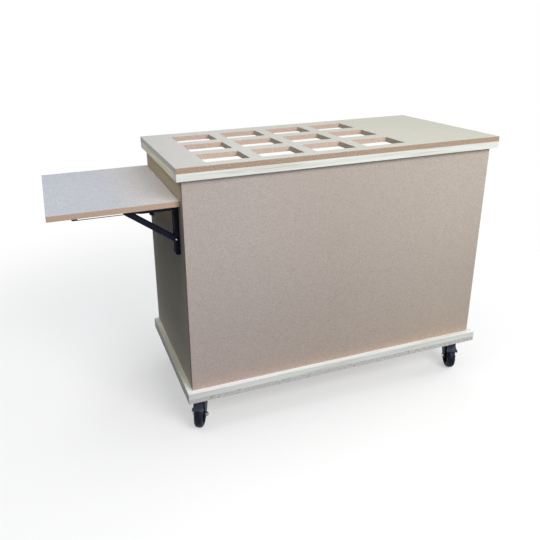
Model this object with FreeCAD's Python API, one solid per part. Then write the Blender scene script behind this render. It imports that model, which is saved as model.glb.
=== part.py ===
"""A mobile service table: a hollow fibreboard carcass, open at the back, on four casters.

The worktop has a grid of rectangular cut-outs over the open carcass. A pine lipping runs under
its front and ends, and a pine ledge on a plywood board makes the base. A side shelf on the left
folds down on two steel brackets. All sizes are in millimetres. X runs along the length, from the
shelf end to the plain end, Y runs from the front panel to the open back, and Z is up from the
floor. The origin lies on the floor, midway along the whole length with the shelf out.
"""
import FreeCAD
import Part
import math
import os

from FreeCAD import Vector

# --- worktop ---
TOP_LENGTH = 1220.0
TOP_DEPTH = 600.0
BOARD = 18.0                 # fibreboard of the worktop, panels and shelf
CUTOUT_LENGTH = 152.0
CUTOUT_GAP_X = 44.0
CUTOUT_GAP_Y = 58.0
CUTOUT_COLUMNS = 4
CUTOUT_ROWS = 3
CUTOUT_LEFT_MARGIN = 108.0
CUTOUT_BACK_MARGIN = 75.0
CUTOUT_FRONT_MARGIN = 49.0
LIP_HEIGHT = 25.0
LIP_WIDTH = 45.0

# --- carcass and base ---
TOP_OVERHANG = 20.0          # at the front and both ends; the back is flush
BODY_HEIGHT = 770.0
BASE_LEDGE = 20.0            # at the front and both ends; the back is flush
STRIP_HEIGHT = 22.0
STRIP_WIDTH = 45.0
PLYWOOD = 18.0
BATTEN = 30.0

# --- wood screws ---
SCREW_RADIUS = 2.0
SCREW_HEAD_RADIUS = 4.0
SCREW_HEAD_DEPTH = 2.0
SCREW_COVER = 6.0            # wood left beyond a screw's tip
BATTEN_SCREW_ROWS = 4
BOTTOM_SCREW_ROWS = 3
SCREW_STAGGER = 24.0         # height between the two screw lines of a corner batten
SCREW_END_MARGIN = 70.0

# --- side shelf ---
SHELF_DEPTH = 410.0          # how far it reaches from the side panel
SHELF_WIDTH = 552.0          # along Y, flush with the back
SHELF_DROP = 118.0           # worktop surface to shelf surface
SHELF_GAP = 2.0
BRACKET_FRONT_INSET = 45.0   # shelf's front edge to the near bracket's centre
BRACKET_BACK_INSET = 50.0

# --- folding bracket: wall channel inside the brace, brace inside the arm channel ---
STEEL = 2.0
WALL_WIDTH = 22.0
WALL_DEPTH = 18.0
WALL_LENGTH = 178.0
WALL_BEVEL = 5.5             # at its foot
WALL_TOP_BEVEL = 4.0
NEST_GAP = 0.4               # between a channel and what turns inside it, each side
PIN_OUT = 13.4               # side panel to the pivot line
PIN_DROP = 9.5               # shelf's underside to the pivot line
ARM_DEPTH = 17.5             # from the hinge out to the taper
ARM_TOE_DEPTH = 14.0         # beyond the taper
ARM_TAPER_START = 105.0      # from the hinge
ARM_TAPER = 30.0
ARM_HEEL = 8.0               # arm behind its hinge
ARM_TAIL = 22.0              # arm beyond the slot's outer end
BRACE_SPAN = 111.5           # hinge to the brace's lower pivot
BRACE_REACH = 157.0          # hinge to the slide pin, shelf out
BRACE_HALF_WIDTH = 8.0
BRACE_OFFSET = 1.0           # brace's centre line below its pins
BRACE_WEB_START = 14.0
BRACE_WEB_END = 10.0
RIVET_RADIUS = 2.5
RIVET_HEAD_RADIUS = 4.0
RIVET_HEAD = 2.0
SHOULDER_RADIUS = 4.5
RUNNING_GAP = 0.06           # radial clearance of a pin that turns in its hole
SLOT_GAP = 0.1
FACE_GAP = 0.2               # between a rivet head and the channel that turns under it
OPEN_PIVOT_GAP = 0.3         # between the slide pin's ends and its middle
BRACKET_SCREW_LENGTH = 15.0
WALL_SCREW_DROPS = (45.0, 90.0, 160.0)
SHELF_SCREW_REACHES = (40.0, 130.0, 235.0)

# --- casters ---
CASTER_HEIGHT = 128.0
CASTER_INSET_X = 64.0
CASTER_INSET_Y = 72.0
CASTER_TRAIL = 35.0
CASTER_HEADINGS = {"front_left": 27.0, "front_right": 24.0, "back_left": -20.0, "back_right": 22.0}
BRAKED_CASTERS = ("front_left", "front_right")
PLATE_LENGTH = 104.0
PLATE_WIDTH = 80.0
PLATE = 3.0
PLATE_CORNER = 8.0
PLATE_HOLE_SPACING_X = 80.0
PLATE_HOLE_SPACING_Y = 60.0
PLATE_HOLE_RADIUS = 4.5
CASTER_SCREW_RADIUS = 3.5
CASTER_SCREW_HEAD_RADIUS = 6.5
CASTER_SCREW_HEAD = 4.0
CASTER_SCREW_LENGTH = 32.0   # in the wood
RACE_RADIUS = 24.0
RACE_HEIGHT = 3.0
BEARING_HEIGHT = 3.0
BEARING_WIDTH = 6.0
BEARING_GAP = 0.3
KINGPIN_RADIUS = 6.0
KINGPIN_HEAD_RADIUS = 10.0
KINGPIN_HEAD = 3.0
CROWN_RADIUS = 27.0
FORK_STEEL = 3.0
FORK_GAP = 3.0               # wheel's side to the fork leg
FORK_FRONT = 16.0
FORK_BACK = 42.0
AXLE_BOSS_RADIUS = 13.0
WHEEL_RADIUS = 50.0
WHEEL_WIDTH = 32.0
TREAD_THICKNESS = 13.0
TREAD_SHOULDER = 12.0
GROOVE_WIDTH = 2.0
GROOVE_DEPTH = 1.5
GROOVE_OFFSET = 5.0
HUB_RIM = 5.0
HUB_RIM_WIDTH = 28.0
HUB_WEB = 9.0
HUB_BOSS_RADIUS = 12.0
HUB_SEAT_GAP = 0.05
HUB_HOLES = 5
HUB_HOLE_RADIUS = 5.0
AXLE_RADIUS = 4.0
AXLE_HEX = 13.0              # across flats
AXLE_HEAD = 5.3
AXLE_NUT = 7.0
AXLE_TIP = 2.0

# --- brake pedal, a bent plate round the tread ---
PEDAL = 2.5
PEDAL_TREAD_GAP = 5.5
PEDAL_START_ANGLE = 84.0     # about the axle, from straight ahead
PEDAL_END_ANGLE = 126.0
PEDAL_TOE_LENGTH = 12.0
PEDAL_NARROW_GAP = 1.0       # to each fork leg
PEDAL_TOE_WIDTH = 42.0
PEDAL_PIN_RADIUS = 2.5
PEDAL_PIN_AHEAD = 2.0        # of the axle
PEDAL_PIN_DROP = 7.0         # below the fork's crown

# --- levels and edges worked out from the sizes above ---
PLYWOOD_TOP = CASTER_HEIGHT + PLYWOOD
BASE_TOP = PLYWOOD_TOP + STRIP_HEIGHT
BODY_TOP = BASE_TOP + BODY_HEIGHT
LIP_TOP = BODY_TOP + LIP_HEIGHT
WORKTOP = LIP_TOP + BOARD

SHELF_REACH = SHELF_GAP + SHELF_DEPTH
TOP_LEFT = (SHELF_REACH - TOP_OVERHANG - TOP_LENGTH) / 2
TOP_RIGHT = TOP_LEFT + TOP_LENGTH
TOP_FRONT = -TOP_DEPTH / 2
BACK = TOP_DEPTH / 2
CUTOUT_PITCH_Y = (TOP_DEPTH - CUTOUT_BACK_MARGIN - CUTOUT_FRONT_MARGIN + CUTOUT_GAP_Y) / CUTOUT_ROWS
CUTOUT_DEPTH = CUTOUT_PITCH_Y - CUTOUT_GAP_Y
BODY_LEFT = TOP_LEFT + TOP_OVERHANG
BODY_RIGHT = TOP_RIGHT - TOP_OVERHANG
BODY_FRONT = TOP_FRONT + TOP_OVERHANG
BASE_LEFT = BODY_LEFT - BASE_LEDGE
BASE_RIGHT = BODY_RIGHT + BASE_LEDGE
BASE_FRONT = BODY_FRONT - BASE_LEDGE

SHELF_TOP = WORKTOP - SHELF_DROP
SHELF_UNDERSIDE = SHELF_TOP - BOARD
SHELF_FRONT = BACK - SHELF_WIDTH
BRACKETS = {"near": SHELF_FRONT + BRACKET_FRONT_INSET, "far": BACK - BRACKET_BACK_INSET}
HINGE_X = BODY_LEFT - PIN_OUT
HINGE_Z = SHELF_UNDERSIDE - PIN_DROP
BRACE_LENGTH = math.hypot(BRACE_SPAN, BRACE_REACH)
BRACE_ANGLE = math.degrees(math.atan2(BRACE_SPAN, BRACE_REACH))
FOLDED_REACH = BRACE_SPAN + BRACE_LENGTH
BRACE_WIDTH = WALL_WIDTH + 2 * (NEST_GAP + STEEL)
ARM_WIDTH = BRACE_WIDTH + 2 * (FACE_GAP + RIVET_HEAD + NEST_GAP + STEEL)

PLATE_UNDERSIDE = CASTER_HEIGHT - PLATE
RACE_UNDERSIDE = PLATE_UNDERSIDE - RACE_HEIGHT
CROWN_TOP = RACE_UNDERSIDE - BEARING_HEIGHT
CROWN_UNDERSIDE = CROWN_TOP - FORK_STEEL
LEG_INSIDE = WHEEL_WIDTH / 2 + FORK_GAP
LEG_OUTSIDE = LEG_INSIDE + FORK_STEEL
PEDAL_PIN_X = -CASTER_TRAIL + PEDAL_PIN_AHEAD
PEDAL_PIN_Z = CROWN_UNDERSIDE - PEDAL_PIN_DROP


def save(name, *solids):
    """Write one sub-part, which may be several separate solids."""
    shape = solids[0] if len(solids) == 1 else Part.makeCompound(list(solids))
    shape.exportStep(f"parts/{name}.step")


def box(x0, x1, y0, y1, z0, z1):
    return Part.makeBox(x1 - x0, y1 - y0, z1 - z0, Vector(x0, y0, z0))


def rod(radius, start, end):
    """A cylinder between two points."""
    start, end = Vector(*start), Vector(*end)
    return Part.makeCylinder(radius, (end - start).Length, start, end - start)


def slab(outline, y0, y1):
    """A flat outline in X and Z, as thick as from y0 to y1."""
    points = [Vector(x, y0, z) for x, z in outline]
    face = Part.Face(Part.makePolygon(points + points[:1]))
    return face.extrude(Vector(0, y1 - y0, 0))


def hexagon(across_flats, y0, y1):
    """A six-sided head about the Y axis."""
    corner = across_flats / math.sqrt(3)
    turns = [math.radians(60 * step) for step in range(6)]
    return slab([(corner * math.cos(turn), corner * math.sin(turn)) for turn in turns], y0, y1)


def turned(profile):
    """A ring about the Y axis from points given as radius and Y."""
    points = [Vector(radius, y, 0) for radius, y in profile]
    face = Part.Face(Part.makePolygon(points + points[:1]))
    return face.revolve(Vector(0, 0, 0), Vector(0, 1, 0), 360)


def countersunk_screw(head, direction, length):
    """A wood screw whose head lies flush at a point and whose shank runs along a direction."""
    head, direction = Vector(*head), Vector(*direction)
    cone = Part.makeCone(SCREW_HEAD_RADIUS, SCREW_RADIUS, SCREW_HEAD_DEPTH, head, direction)
    return cone.fuse(Part.makeCylinder(SCREW_RADIUS, length, head, direction)).removeSplitter()


def drilled(board, screws):
    """A board with the room that its screws take."""
    for screw in screws:
        if board.BoundBox.intersect(screw.BoundBox):
            board = board.cut(screw)
    return board


def spread(first, last, count):
    """Evenly spaced places, both ends included."""
    return [first + (last - first) * step / (count - 1) for step in range(count)]


def top_board():
    board = box(TOP_LEFT, TOP_RIGHT, TOP_FRONT, BACK, LIP_TOP, WORKTOP)
    for column in range(CUTOUT_COLUMNS):
        left = TOP_LEFT + CUTOUT_LEFT_MARGIN + column * (CUTOUT_LENGTH + CUTOUT_GAP_X)
        for row in range(CUTOUT_ROWS):
            back = BACK - CUTOUT_BACK_MARGIN - row * CUTOUT_PITCH_Y
            board = board.cut(box(left, left + CUTOUT_LENGTH, back - CUTOUT_DEPTH, back,
                                  LIP_TOP, WORKTOP))
    return board


def edge_strips(left, right, front, end, width, z0, z1):
    """The strips along a front edge and both ends, where the end ones stop short at a Y."""
    return {
        "front": box(left, right, front, front + width, z0, z1),
        "left": box(left, left + width, front + width, end, z0, z1),
        "right": box(right - width, right, front + width, end, z0, z1),
    }


def batten_screws():
    """The screws of the corner and bottom battens, all driven from inside the carcass."""
    screws = []
    length = BATTEN + BOARD - SCREW_COVER
    down = BATTEN + STRIP_HEIGHT - SCREW_COVER
    heights = spread(BASE_TOP + SCREW_END_MARGIN, BODY_TOP - SCREW_END_MARGIN, BATTEN_SCREW_ROWS)
    corner_y = BODY_FRONT + BOARD + BATTEN / 2
    places = spread(corner_y + BATTEN + SCREW_END_MARGIN, BACK - SCREW_END_MARGIN,
                    BOTTOM_SCREW_ROWS)
    for wall, side in ((BODY_LEFT + BOARD, 1), (BODY_RIGHT - BOARD, -1)):
        inside = wall + side * BATTEN
        middle = wall + side * BATTEN / 2
        for height in heights:
            screws.append(countersunk_screw((inside, corner_y, height), (-side, 0, 0), length))
            face = (middle, corner_y + BATTEN / 2, height - SCREW_STAGGER)
            screws.append(countersunk_screw(face, (0, -1, 0), length))
        for place in places:
            face = (middle, place, BASE_TOP + BATTEN)
            screws.append(countersunk_screw(face, (0, 0, -1), down))
    return screws


def carcass_boards():
    """The battens, panels and base boards, without their screw holes."""
    inner_left, inner_right = BODY_LEFT + BOARD, BODY_RIGHT - BOARD
    inner_front = BODY_FRONT + BOARD
    boards = {
        "front_panel": box(BODY_LEFT, BODY_RIGHT, BODY_FRONT, inner_front, BASE_TOP, BODY_TOP),
        "left_side_panel": box(BODY_LEFT, inner_left, inner_front, BACK, BASE_TOP, BODY_TOP),
        "right_side_panel": box(inner_right, BODY_RIGHT, inner_front, BACK, BASE_TOP, BODY_TOP),
        "base_plywood": box(BASE_LEFT, BASE_RIGHT, BASE_FRONT, BACK, CASTER_HEIGHT, PLYWOOD_TOP),
        "floor_board": box(BASE_LEFT + STRIP_WIDTH, BASE_RIGHT - STRIP_WIDTH,
                           BASE_FRONT + STRIP_WIDTH, BACK - STRIP_WIDTH, PLYWOOD_TOP, BASE_TOP),
    }
    strips = edge_strips(BASE_LEFT, BASE_RIGHT, BASE_FRONT, BACK - STRIP_WIDTH, STRIP_WIDTH,
                         PLYWOOD_TOP, BASE_TOP)
    strips["back"] = box(BASE_LEFT, BASE_RIGHT, BACK - STRIP_WIDTH, BACK, PLYWOOD_TOP, BASE_TOP)
    for side, strip in strips.items():
        boards[f"base_strip_{side}"] = strip
    for side, x0 in (("left", inner_left), ("right", inner_right - BATTEN)):
        corner_back = inner_front + BATTEN
        boards[f"corner_batten_{side}"] = box(x0, x0 + BATTEN, inner_front, corner_back,
                                              BASE_TOP, BODY_TOP)
        boards[f"bottom_batten_{side}"] = box(x0, x0 + BATTEN, corner_back, BACK,
                                              BASE_TOP, BASE_TOP + BATTEN)
    return boards


def wall_channel(y):
    """The bracket's upright: a channel with its web on the side panel and a bevelled foot."""
    top = HINGE_Z + WALL_DEPTH - PIN_OUT
    foot = SHELF_UNDERSIDE - WALL_LENGTH
    outer = BODY_LEFT - WALL_DEPTH
    outline = [(BODY_LEFT, top), (outer + WALL_TOP_BEVEL, top), (outer, top - WALL_TOP_BEVEL),
               (outer, foot + WALL_BEVEL), (outer + WALL_BEVEL, foot), (BODY_LEFT, foot)]
    channel = slab(outline, y - WALL_WIDTH / 2, y + WALL_WIDTH / 2)
    hollow = box(outer - STEEL, BODY_LEFT - STEEL, y - WALL_WIDTH / 2 + STEEL,
                 y + WALL_WIDTH / 2 - STEEL, foot - STEEL, top + STEEL)
    channel = channel.cut(hollow)
    for z in (HINGE_Z, HINGE_Z - BRACE_SPAN):
        channel = channel.cut(pivot_hole(RIVET_RADIUS, HINGE_X, y, z))
    return channel


def pivot_hole(radius, x, y, z):
    """A cross hole through a bracket, wider than any of its channels."""
    return rod(radius, (x, y - ARM_WIDTH, z), (x, y + ARM_WIDTH, z))


def arm_channel(y):
    """The bracket's long arm under the shelf, slotted for the slide pin."""
    heel = HINGE_X + ARM_HEEL
    toe = HINGE_X - FOLDED_REACH - ARM_TAIL
    bottom = SHELF_UNDERSIDE - ARM_DEPTH
    toe_bottom = SHELF_UNDERSIDE - ARM_TOE_DEPTH
    taper = HINGE_X - ARM_TAPER_START
    outline = [(heel, SHELF_UNDERSIDE), (toe, SHELF_UNDERSIDE), (toe, HINGE_Z),
               (toe + ARM_TOE_DEPTH - PIN_DROP, toe_bottom), (taper - ARM_TAPER, toe_bottom),
               (taper, bottom), (heel, bottom)]
    arm = slab(outline, y - ARM_WIDTH / 2, y + ARM_WIDTH / 2)
    hollow = box(toe - STEEL, heel + STEEL, y - ARM_WIDTH / 2 + STEEL, y + ARM_WIDTH / 2 - STEEL,
                 bottom - STEEL, SHELF_UNDERSIDE - STEEL)
    arm = arm.cut(hollow).cut(pivot_hole(RIVET_RADIUS + RUNNING_GAP, HINGE_X, y, HINGE_Z))
    near, far = HINGE_X - BRACE_REACH, HINGE_X - FOLDED_REACH
    half = RIVET_RADIUS + SLOT_GAP
    slot = box(far, near, y - ARM_WIDTH, y + ARM_WIDTH, HINGE_Z - half, HINGE_Z + half)
    for end in (near, far):
        slot = slot.fuse(pivot_hole(half, end, y, HINGE_Z))
    return arm.cut(slot)


def brace(y):
    """The diagonal: a channel with its web on top, drawn level and then tilted about its pivot."""
    middle = -BRACE_OFFSET
    lengthways = box(-BRACE_LENGTH, 0, y - BRACE_WIDTH / 2, y + BRACE_WIDTH / 2,
                     middle - BRACE_HALF_WIDTH, middle + BRACE_HALF_WIDTH)
    for end in (0, -BRACE_LENGTH):
        lengthways = lengthways.fuse(rod(BRACE_HALF_WIDTH, (end, y - BRACE_WIDTH / 2, middle),
                                         (end, y + BRACE_WIDTH / 2, middle)))
    inside = BRACE_WIDTH / 2 - STEEL
    reach = BRACE_LENGTH + 2 * BRACE_HALF_WIDTH
    under_web = middle + BRACE_HALF_WIDTH - STEEL
    hollow = box(-reach, reach, y - inside, y + inside, -reach, under_web)
    for x0, x1 in ((-BRACE_WEB_START, reach), (-reach, -BRACE_LENGTH + BRACE_WEB_END)):
        hollow = hollow.fuse(box(x0, x1, y - inside, y + inside, -reach, reach))
    shape = lengthways.cut(hollow)
    shape = shape.cut(pivot_hole(RIVET_RADIUS + RUNNING_GAP, 0, y, 0))
    shape = shape.cut(pivot_hole(RIVET_RADIUS, -BRACE_LENGTH, y, 0))
    return tilted(shape)


def tilted(shape):
    """Turn a piece drawn level into the brace's place with the shelf out."""
    shape.rotate(Vector(0, 0, 0), Vector(0, 1, 0), BRACE_ANGLE)
    shape.translate(Vector(HINGE_X, 0, HINGE_Z - BRACE_SPAN))
    return shape


def rivet(x, y, z, grip, shoulder_from=None):
    """A cross rivet with a head on each side of what it grips, and shoulders where it has any."""
    shape = rod(RIVET_RADIUS, (x, y - grip, z), (x, y + grip, z))
    for side in (-1, 1):
        face = y + side * (grip + FACE_GAP)
        shape = shape.fuse(rod(RIVET_RADIUS, (x, y, z), (x, face, z)))
        shape = shape.fuse(rod(RIVET_HEAD_RADIUS, (x, face, z), (x, face + side * RIVET_HEAD, z)))
        if shoulder_from is not None:
            inner, outer = shoulder_from, grip - STEEL - FACE_GAP
            shape = shape.fuse(rod(SHOULDER_RADIUS, (x, y + side * inner, z),
                                   (x, y + side * outer, z)))
    return shape.removeSplitter()


def slide_pin_ends(y):
    """The two headed ends of the slide pin, each in its slot of the arm."""
    x = HINGE_X - BRACE_REACH
    ends = []
    for side in (-1, 1):
        inner = y + side * (BRACE_WIDTH / 2 + OPEN_PIVOT_GAP)
        face = y + side * (ARM_WIDTH / 2 + FACE_GAP)
        end = rod(RIVET_RADIUS, (x, inner, HINGE_Z), (x, face, HINGE_Z))
        head = rod(RIVET_HEAD_RADIUS, (x, face, HINGE_Z), (x, face + side * RIVET_HEAD, HINGE_Z))
        ends.append(end.fuse(head).removeSplitter())
    return ends


def slide_pin_middle(y):
    """The slide pin's middle, held by the brace and flush with its sides."""
    x = HINGE_X - BRACE_REACH
    return rod(RIVET_RADIUS, (x, y - BRACE_WIDTH / 2, HINGE_Z), (x, y + BRACE_WIDTH / 2, HINGE_Z))


def wall_screws():
    """The bracket's screws into the side panel, heads flush in the web of the wall channel."""
    return [countersunk_screw((BODY_LEFT - STEEL, y, SHELF_UNDERSIDE - drop), (1, 0, 0),
                              BRACKET_SCREW_LENGTH)
            for y in BRACKETS.values() for drop in WALL_SCREW_DROPS]


def shelf_screws():
    """The bracket's screws up into the shelf, heads flush in the web of the arm."""
    return [countersunk_screw((HINGE_X - reach, y, SHELF_UNDERSIDE - STEEL), (0, 0, 1),
                              BRACKET_SCREW_LENGTH)
            for y in BRACKETS.values() for reach in SHELF_SCREW_REACHES]


def caster_place(name):
    """The swivel axis of a caster."""
    end, side = name.split("_")
    x = BASE_LEFT + CASTER_INSET_X if side == "left" else BASE_RIGHT - CASTER_INSET_X
    y = BASE_FRONT + CASTER_INSET_Y if end == "front" else BACK - CASTER_INSET_Y
    return x, y


def caster_screws(name):
    """The four screws of a caster, with their heads under its plate."""
    x, y = caster_place(name)
    screws = []
    for dx in (-PLATE_HOLE_SPACING_X / 2, PLATE_HOLE_SPACING_X / 2):
        for dy in (-PLATE_HOLE_SPACING_Y / 2, PLATE_HOLE_SPACING_Y / 2):
            place = (x + dx, y + dy)
            shank = rod(CASTER_SCREW_RADIUS, (*place, PLATE_UNDERSIDE),
                        (*place, CASTER_HEIGHT + CASTER_SCREW_LENGTH))
            head = rod(CASTER_SCREW_HEAD_RADIUS, (*place, PLATE_UNDERSIDE - CASTER_SCREW_HEAD),
                       (*place, PLATE_UNDERSIDE))
            screws.append(shank.fuse(head).removeSplitter())
    return screws


def caster_plate():
    """The fixed plate with its pressed race, about the swivel axis."""
    plate = box(-PLATE_LENGTH / 2, PLATE_LENGTH / 2, -PLATE_WIDTH / 2, PLATE_WIDTH / 2,
                PLATE_UNDERSIDE, CASTER_HEIGHT)
    upright = [edge for edge in plate.Edges if abs(edge.tangentAt(edge.FirstParameter).z) > 0.99]
    plate = plate.makeFillet(PLATE_CORNER, upright)
    plate = plate.fuse(rod(RACE_RADIUS, (0, 0, RACE_UNDERSIDE), (0, 0, PLATE_UNDERSIDE)))
    plate = plate.cut(rod(KINGPIN_RADIUS, (0, 0, RACE_UNDERSIDE), (0, 0, CASTER_HEIGHT)))
    for dx in (-PLATE_HOLE_SPACING_X / 2, PLATE_HOLE_SPACING_X / 2):
        for dy in (-PLATE_HOLE_SPACING_Y / 2, PLATE_HOLE_SPACING_Y / 2):
            plate = plate.cut(rod(PLATE_HOLE_RADIUS, (dx, dy, PLATE_UNDERSIDE),
                                  (dx, dy, CASTER_HEIGHT)))
    return plate.removeSplitter()


def kingpin():
    """The swivel rivet, headed under the fork's crown."""
    head_top = CROWN_UNDERSIDE - FACE_GAP
    head = rod(KINGPIN_HEAD_RADIUS, (0, 0, head_top - KINGPIN_HEAD), (0, 0, head_top))
    return head.fuse(rod(KINGPIN_RADIUS, (0, 0, head_top), (0, 0, CASTER_HEIGHT))).removeSplitter()


def swivel_bearing():
    """The ball ring between the race and the fork's crown."""
    bottom, top = CROWN_TOP + BEARING_GAP, RACE_UNDERSIDE
    ring = rod(RACE_RADIUS - 1, (0, 0, bottom), (0, 0, top))
    return ring.cut(rod(RACE_RADIUS - 1 - BEARING_WIDTH, (0, 0, bottom), (0, 0, top)))


def fork(braked):
    """The yoke over the wheel, trailing towards -X."""
    crown = rod(CROWN_RADIUS, (0, 0, CROWN_UNDERSIDE), (0, 0, CROWN_TOP))
    yoke = crown.fuse(box(-FORK_BACK, FORK_FRONT, -LEG_OUTSIDE, LEG_OUTSIDE,
                          CROWN_UNDERSIDE, CROWN_TOP))
    knee = CROWN_UNDERSIDE - FORK_FRONT
    toe = WHEEL_RADIUS - AXLE_BOSS_RADIUS / 2
    outline = [(FORK_FRONT, CROWN_UNDERSIDE), (FORK_FRONT, knee),
               (-CASTER_TRAIL + AXLE_BOSS_RADIUS, toe), (-CASTER_TRAIL - AXLE_BOSS_RADIUS, toe),
               (-CASTER_TRAIL - AXLE_BOSS_RADIUS, WHEEL_RADIUS), (-FORK_BACK, knee),
               (-FORK_BACK, CROWN_UNDERSIDE)]
    for y0, y1 in ((-LEG_OUTSIDE, -LEG_INSIDE), (LEG_INSIDE, LEG_OUTSIDE)):
        boss = rod(AXLE_BOSS_RADIUS, (-CASTER_TRAIL, y0, WHEEL_RADIUS),
                   (-CASTER_TRAIL, y1, WHEEL_RADIUS))
        yoke = yoke.fuse(slab(outline, y0, y1)).fuse(boss)
    yoke = yoke.cut(rod(KINGPIN_RADIUS + RUNNING_GAP, (0, 0, CROWN_UNDERSIDE), (0, 0, CROWN_TOP)))
    yoke = yoke.cut(rod(AXLE_RADIUS + RUNNING_GAP, (-CASTER_TRAIL, -LEG_OUTSIDE, WHEEL_RADIUS),
                        (-CASTER_TRAIL, LEG_OUTSIDE, WHEEL_RADIUS)))
    if braked:
        yoke = yoke.cut(rod(PEDAL_PIN_RADIUS + RUNNING_GAP,
                            (PEDAL_PIN_X, -LEG_OUTSIDE, PEDAL_PIN_Z),
                            (PEDAL_PIN_X, LEG_OUTSIDE, PEDAL_PIN_Z)))
    return yoke.removeSplitter()


def at_axle(shape):
    """Move a piece drawn about the Y axis to the axle."""
    shape.translate(Vector(-CASTER_TRAIL, 0, WHEEL_RADIUS))
    return shape


def axle_bolt_and_nut():
    bolt = rod(AXLE_RADIUS, (0, -LEG_OUTSIDE - AXLE_NUT - AXLE_TIP, 0), (0, LEG_OUTSIDE, 0))
    bolt = bolt.fuse(hexagon(AXLE_HEX, LEG_OUTSIDE, LEG_OUTSIDE + AXLE_HEAD))
    nut = hexagon(AXLE_HEX, -LEG_OUTSIDE - AXLE_NUT, -LEG_OUTSIDE)
    nut = nut.cut(rod(AXLE_RADIUS + RUNNING_GAP, (0, -LEG_OUTSIDE - AXLE_NUT, 0),
                      (0, -LEG_OUTSIDE, 0)))
    return at_axle(bolt.removeSplitter()), at_axle(nut)


def wheel_tread():
    """The solid tyre, with rounded shoulders and two grooves round the tread."""
    half = WHEEL_WIDTH / 2
    inner = WHEEL_RADIUS - TREAD_THICKNESS
    bend = TREAD_SHOULDER * (1 - math.sqrt(0.5))
    edges = []
    for side in (-1, 1):
        start = Vector(WHEEL_RADIUS, side * (half - TREAD_SHOULDER), 0)
        middle = Vector(WHEEL_RADIUS - bend, side * (half - bend), 0)
        end = Vector(WHEEL_RADIUS - TREAD_SHOULDER, side * half, 0)
        edges.append(Part.Arc(start, middle, end).toShape())
        edges.append(Part.makeLine(end, Vector(inner, side * half, 0)))
    edges.append(Part.makeLine(Vector(inner, -half, 0), Vector(inner, half, 0)))
    edges.append(Part.makeLine(Vector(WHEEL_RADIUS, -half + TREAD_SHOULDER, 0),
                               Vector(WHEEL_RADIUS, half - TREAD_SHOULDER, 0)))
    face = Part.Face(Part.Wire(Part.__sortEdges__(edges)))
    tread = face.revolve(Vector(0, 0, 0), Vector(0, 1, 0), 360)
    floor = WHEEL_RADIUS - GROOVE_DEPTH
    for middle in (-GROOVE_OFFSET, GROOVE_OFFSET):
        y0, y1 = middle - GROOVE_WIDTH / 2, middle + GROOVE_WIDTH / 2
        tread = tread.cut(turned([(floor, y0), (WHEEL_RADIUS + 1, y0), (WHEEL_RADIUS + 1, y1),
                                  (floor, y1)]))
    return at_axle(tread)


def wheel_hub():
    """The wheel's centre: a rim, a web with holes and a boss that runs on the axle."""
    outer = WHEEL_RADIUS - TREAD_THICKNESS - HUB_SEAT_GAP
    rim = outer - HUB_RIM
    boss = LEG_INSIDE - BEARING_GAP
    profile = [(AXLE_RADIUS + RUNNING_GAP, -boss), (HUB_BOSS_RADIUS, -boss),
               (HUB_BOSS_RADIUS, -HUB_WEB / 2), (rim, -HUB_WEB / 2), (rim, -HUB_RIM_WIDTH / 2),
               (outer, -HUB_RIM_WIDTH / 2), (outer, HUB_RIM_WIDTH / 2), (rim, HUB_RIM_WIDTH / 2),
               (rim, HUB_WEB / 2), (HUB_BOSS_RADIUS, HUB_WEB / 2), (HUB_BOSS_RADIUS, boss),
               (AXLE_RADIUS + RUNNING_GAP, boss)]
    hub = turned(profile)
    hole_circle = (rim + HUB_BOSS_RADIUS) / 2
    for step in range(HUB_HOLES):
        turn = 2 * math.pi * step / HUB_HOLES
        x, z = hole_circle * math.cos(turn), hole_circle * math.sin(turn)
        hub = hub.cut(rod(HUB_HOLE_RADIUS, (x, -HUB_WEB, z), (x, HUB_WEB, z)))
    return at_axle(hub)


def brake_pedal():
    """A plate bent round the tread, with a wide toe and two trunnions in the fork legs."""
    inner = WHEEL_RADIUS + PEDAL_TREAD_GAP
    start, end = math.radians(PEDAL_START_ANGLE), math.radians(PEDAL_END_ANGLE)
    middle = (start + end) / 2

    def arc_point(radius, turn):
        return Vector(-CASTER_TRAIL + radius * math.cos(turn), 0,
                      WHEEL_RADIUS + radius * math.sin(turn))

    def band(width):
        lower = Part.Arc(*(arc_point(inner, turn) for turn in (start, middle, end))).toShape()
        upper = Part.Arc(*(arc_point(inner + PEDAL, turn) for turn in (start, middle, end)))
        ends = [Part.makeLine(arc_point(inner, turn), arc_point(inner + PEDAL, turn))
                for turn in (start, end)]
        face = Part.Face(Part.Wire(Part.__sortEdges__([lower, upper.toShape()] + ends)))
        face.translate(Vector(0, -width / 2, 0))
        return face.extrude(Vector(0, width, 0))

    narrow = 2 * (LEG_INSIDE - PEDAL_NARROW_GAP)
    tip = arc_point(inner, end)
    along = Vector(-math.sin(end), 0, math.cos(end))
    out = Vector(math.cos(end), 0, math.sin(end))
    corners = [tip, tip + out * PEDAL, tip + out * PEDAL + along * PEDAL_TOE_LENGTH,
               tip + along * PEDAL_TOE_LENGTH]
    toe = slab([(corner.x, corner.z) for corner in corners],
               -PEDAL_TOE_WIDTH / 2, PEDAL_TOE_WIDTH / 2)
    pin = rod(PEDAL_PIN_RADIUS, (PEDAL_PIN_X, -LEG_OUTSIDE, PEDAL_PIN_Z),
              (PEDAL_PIN_X, LEG_OUTSIDE, PEDAL_PIN_Z))
    return band(narrow).fuse(toe).fuse(pin).removeSplitter()


def placed(shape, name, heading=0.0):
    """A caster piece at its caster's place, with its +X turned from +Y by the heading."""
    shape = shape.copy()
    shape.rotate(Vector(0, 0, 0), Vector(0, 0, 1), 90 - heading)
    x, y = caster_place(name)
    shape.translate(Vector(x, y, 0))
    return shape


def fixed_at(shape, name):
    """A caster piece that doesn't swivel, square with the base."""
    return placed(shape, name, 90.0)


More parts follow.
